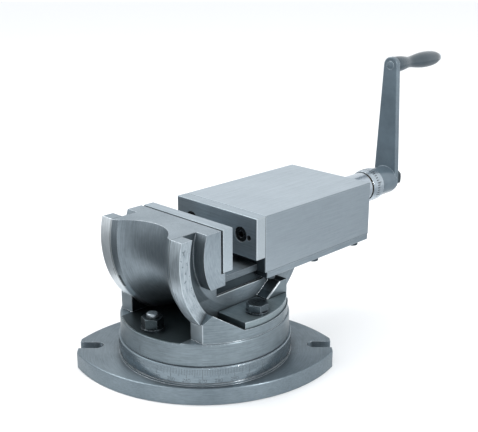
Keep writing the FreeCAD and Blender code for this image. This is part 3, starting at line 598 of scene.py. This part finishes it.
# Engraved numerals drawn as straight strokes on a 4 by 6 grid, as a pantograph engraver cuts them.
DIGITS = {"0": [(0, 1, 0, 5), (0, 5, 1, 6), (1, 6, 3, 6), (3, 6, 4, 5), (4, 5, 4, 1), (4, 1, 3, 0),
                (3, 0, 1, 0), (1, 0, 0, 1)],
          "1": [(0.8, 4.8, 2, 6), (2, 6, 2, 0)],
          "2": [(0, 5, 1, 6), (1, 6, 3, 6), (3, 6, 4, 5), (4, 5, 4, 4), (4, 4, 0, 0), (0, 0, 4, 0)],
          "3": [(0, 6, 4, 6), (4, 6, 2, 3.6), (2, 3.6, 4, 2.4), (4, 2.4, 4, 1), (4, 1, 3, 0), (3, 0, 0.6, 0)],
          "4": [(3, 0, 3, 6), (3, 6, 0, 2), (0, 2, 4, 2)],
          "5": [(4, 6, 0.6, 6), (0.6, 6, 0.3, 3.5), (0.3, 3.5, 3, 3.5), (3, 3.5, 4, 2.5), (4, 2.5, 4, 1),
                (4, 1, 3, 0), (3, 0, 0, 0)],
          "6": [(3.5, 6, 1, 3.8), (1, 3.8, 0, 2), (0, 2, 0, 1), (0, 1, 1, 0), (1, 0, 3, 0), (3, 0, 4, 1),
                (4, 1, 4, 2.4), (4, 2.4, 3, 3.4), (3, 3.4, 0.9, 3.4)],
          "7": [(0, 6, 4, 6), (4, 6, 1.5, 0)],
          "8": [(1, 3.2, 0, 4.4), (0, 4.4, 1, 6), (1, 6, 3, 6), (3, 6, 4, 4.4), (4, 4.4, 3, 3.2),
                (3, 3.2, 1, 3.2), (1, 3.2, 0, 1.6), (0, 1.6, 1, 0), (1, 0, 3, 0), (3, 0, 4, 1.6),
                (4, 1.6, 3, 3.2)],
          "9": [(0.5, 0, 3, 2.2), (3, 2.2, 4, 4), (4, 4, 4, 5), (4, 5, 3, 6), (3, 6, 1, 6), (1, 6, 0, 5),
                (0, 5, 0, 3.6), (0, 3.6, 1, 2.6), (1, 2.6, 3.1, 2.6)]}
DIGIT_HIGH, DIGIT_WIDE, DIGIT_STEP = 6.0, 4.0, 5.6
STROKE = 0.62                           # stroke width on the same grid


def glyphs(text, height):
    """Quads for a number's strokes, centred on 0 across and standing on 0."""
    size = height / DIGIT_HIGH
    wide = DIGIT_STEP * len(text) - (DIGIT_STEP - DIGIT_WIDE)
    for at, letter in enumerate(text):
        shift = DIGIT_STEP * at - wide / 2
        for x0, y0, x1, y1 in DIGITS[letter]:
            a, b = Vector((x0 + shift, y0)), Vector((x1 + shift, y1))
            along = (b - a).normalized() * STROKE / 2
            across = Vector((-along.y, along.x))
            corners = (a - along - across, b + along - across, b + along + across, a - along + across)
            yield [(p.x * size, p.y * size) for p in corners]


INK_PROUD, INK_DEEP = 0.03, -0.12       # how far the inlaid marks reach out of and into the metal


def strokes(name, body, material, place, bars, letters=()):
    """Thin inlaid bars (x, low, high, width) and numbers (text, x, y, height, turn), on a curved face."""
    bm = bmesh.new()

    def slab(outline):
        top = [bm.verts.new(place(x, y, INK_PROUD)) for x, y in outline]
        low = [bm.verts.new(place(x, y, INK_DEEP)) for x, y in outline]
        bm.faces.new(top)
        bm.faces.new(low[::-1])
        for i in range(len(top)):
            j = (i + 1) % len(top)
            bm.faces.new((top[i], low[i], low[j], top[j]))

    for x, low, high, width in bars:
        h = width / 2
        slab([(x - h, low), (x + h, low), (x + h, high), (x - h, high)])
    for text, x, y, height, turn in letters:
        for outline in glyphs(text, height):
            turned = [(px * math.cos(turn) - py * math.sin(turn), px * math.sin(turn) + py * math.cos(turn))
                      for px, py in outline]
            slab([(x + px, y + py) for px, py in turned])
    bmesh.ops.recalc_face_normals(bm, faces=bm.faces)
    show(name, bm, material, body)


def degree_scale():
    """A mark each degree round the drum, longer each fifth and tenth, numbered each tenth."""
    bars, letters = [], []
    top = DRUM_TOP - 0.4
    for degree in range(360):
        x = math.radians(degree) * DRUM_R
        tenth, fifth = degree % 10 == 0, degree % 5 == 0
        length = 8.2 if tenth else 6.8 if fifth else 5.2
        bars.append((x, top - length, top, 0.32 if tenth else 0.24))
        if tenth:
            letters.append((str(degree), x, DRUM_LOW + 0.9, 2.5, 0.0))
    strokes("degree_scale", "table_base", SCALE_INK, wrap_up(DRUM_R), bars, letters)


DIAL_ZERO = math.radians(250)           # where round the screw the dial's zero stands


def index_marks():
    """Zero lines on the swivel ring, before and behind, and on the sleeve beside the dial."""
    for name, turn in (("index_front", math.pi), ("index_rear", 0.0)):
        strokes(name, "swivel", SCALE_INK, wrap_up(RING_R, SWUNG + turn),
                [(0, RING_LOW + 0.2, RING_LOW + 8.0, 0.4)])
    strokes("sleeve_zero", "jaw", DIAL_INK, wrap_screw(SLEEVE_R, DIAL_ZERO),
            [(0, SLEEVE_END - 6.5, SLEEVE_END - 0.2, 0.4)])


def dial_scale():
    """Forty marks round the dial, one for each tenth of a millimetre; each tenth mark is numbered."""
    bars, letters = [], []
    low = DIAL_LOW + 0.2
    for mark in range(40):
        x = math.tau * mark / 40 * DIAL_R
        length = 6.4 if mark % 10 == 0 else 5.0 if mark % 5 == 0 else 3.6
        bars.append((x, low, low + length, 0.75))
        if mark % 10 == 0:
            letters.append((str(mark // 10), x + 1.6, DIAL_LOW + 4.4, 2.6, math.pi))
    strokes("dial_scale", "feed_screw", DIAL_INK, wrap_screw(DIAL_R, DIAL_ZERO), bars, letters)


def turned_piece(name, body, material, profile, centre, axis, steps=48):
    """A lathe shape: profile rows of (along, radius) in millimetres about an axis through the centre."""
    side = axis.orthogonal().normalized()
    other = axis.cross(side)
    bm = bmesh.new()
    rings = []
    for along, radius in profile:
        if radius == 0:
            rings.append([bm.verts.new(centre + axis * along * MM)])
        else:
            rings.append([bm.verts.new(centre + (axis * along + (side * math.cos(math.tau * i / steps)
                          + other * math.sin(math.tau * i / steps)) * radius) * MM) for i in range(steps)])
    for low, high in zip(rings, rings[1:]):
        for i in range(steps):
            j = (i + 1) % steps
            corners = [low[i % len(low)], low[j % len(low)], high[j % len(high)], high[i % len(high)]]
            bm.faces.new(list(dict.fromkeys(corners)))
    bmesh.ops.recalc_face_normals(bm, faces=bm.faces)
    for face in bm.faces:
        face.smooth = True
    show(name, bm, material, body)


finish_cad_nodes()
degree_scale()
index_marks()
dial_scale()
turned_piece("spindle_rivet_end", "feed_screw", FINISH["crank_iron"],
             [(0.4, 0), (0.4, 4.45), (-0.15, 4.4), (-0.45, 3.6), (-0.6, 2.2), (-0.65, 0)],
             vise_point(ARM_FRONT, 0, GRIP_Z), (HERE @ Vector((1, 0, 0))).normalized())


# ---- stage, light and camera; lengths here are metres ---------------------------------------------------
def flat_sheet(name, size, place, material):
    mesh = bpy.data.meshes.new(name)
    w, h = size[0] / 2, size[1] / 2
    mesh.from_pydata([(-w, -h, 0), (w, -h, 0), (w, h, 0), (-w, h, 0)], [], [(0, 1, 2, 3)])
    mesh.materials.append(material)
    obj = bpy.data.objects.new(name, mesh)
    obj.location = place
    bpy.context.scene.collection.objects.link(obj)
    return obj


def reflected_card(name, size, place, colour):
    """A card on the floor that only reflections see, so that the metal has something dark to mirror."""
    card = flat_sheet(name, size, place, paper(name + "_paper", colour))
    card.visible_camera = False
    card.visible_shadow = False
    card.visible_diffuse = False


def area(name, place, target, size, power, colour):
    light = bpy.data.lights.new(name, "AREA")
    light.shape = "RECTANGLE"
    light.size, light.size_y = size
    light.energy = power
    light.color = colour
    obj = bpy.data.objects.new(name, light)
    obj.location = place
    obj.rotation_euler = (Vector(target) - Vector(place)).to_track_quat("-Z", "Y").to_euler()
    bpy.context.scene.collection.objects.link(obj)


flat_sheet("floor", (9, 9), (0, 0, -0.0004), paper("floor_paper", (0.905, 0.91, 0.915)))
reflected_card("left_card", (1.62, 2.6), (-0.965, -0.35, 0.0008), (0.018, 0.028, 0.035))
reflected_card("right_card", (1.1, 1.8), (0.83, 0.1, 0.0008), (0.42, 0.44, 0.46))

world = bpy.data.worlds.new("studio")
bpy.context.scene.world = world
world.use_nodes = True
sky = world.node_tree.nodes["Background"]
sky.inputs["Color"].default_value = (0.96, 0.98, 1.0, 1)
sky.inputs["Strength"].default_value = 1.08

area("key_top_left", (-0.9, 0.35, 1.5), (0.05, 0.05, 0.08), (0.9, 0.9), 14, (1.0, 0.99, 0.97))
area("key_front_right", (1.5, -1.45, 1.3), (0.0, 0.0, 0.06), (0.18, 1.2), 26, (1.0, 0.99, 0.98))

camera = bpy.data.cameras.new("camera")
camera.sensor_width = 36.0
camera.lens = 64.945
camera.clip_start, camera.clip_end = 0.01, 50
view = bpy.data.objects.new("camera", camera)
view.location = (0.024647, -0.707746, 0.367789)
view.rotation_euler = (math.radians(71.9815), 0.0, math.radians(-0.4706))
bpy.context.scene.collection.objects.link(view)
bpy.context.scene.camera = view
bpy.context.scene.view_settings.view_transform = "Standard"

bpy.context.view_layer.update()
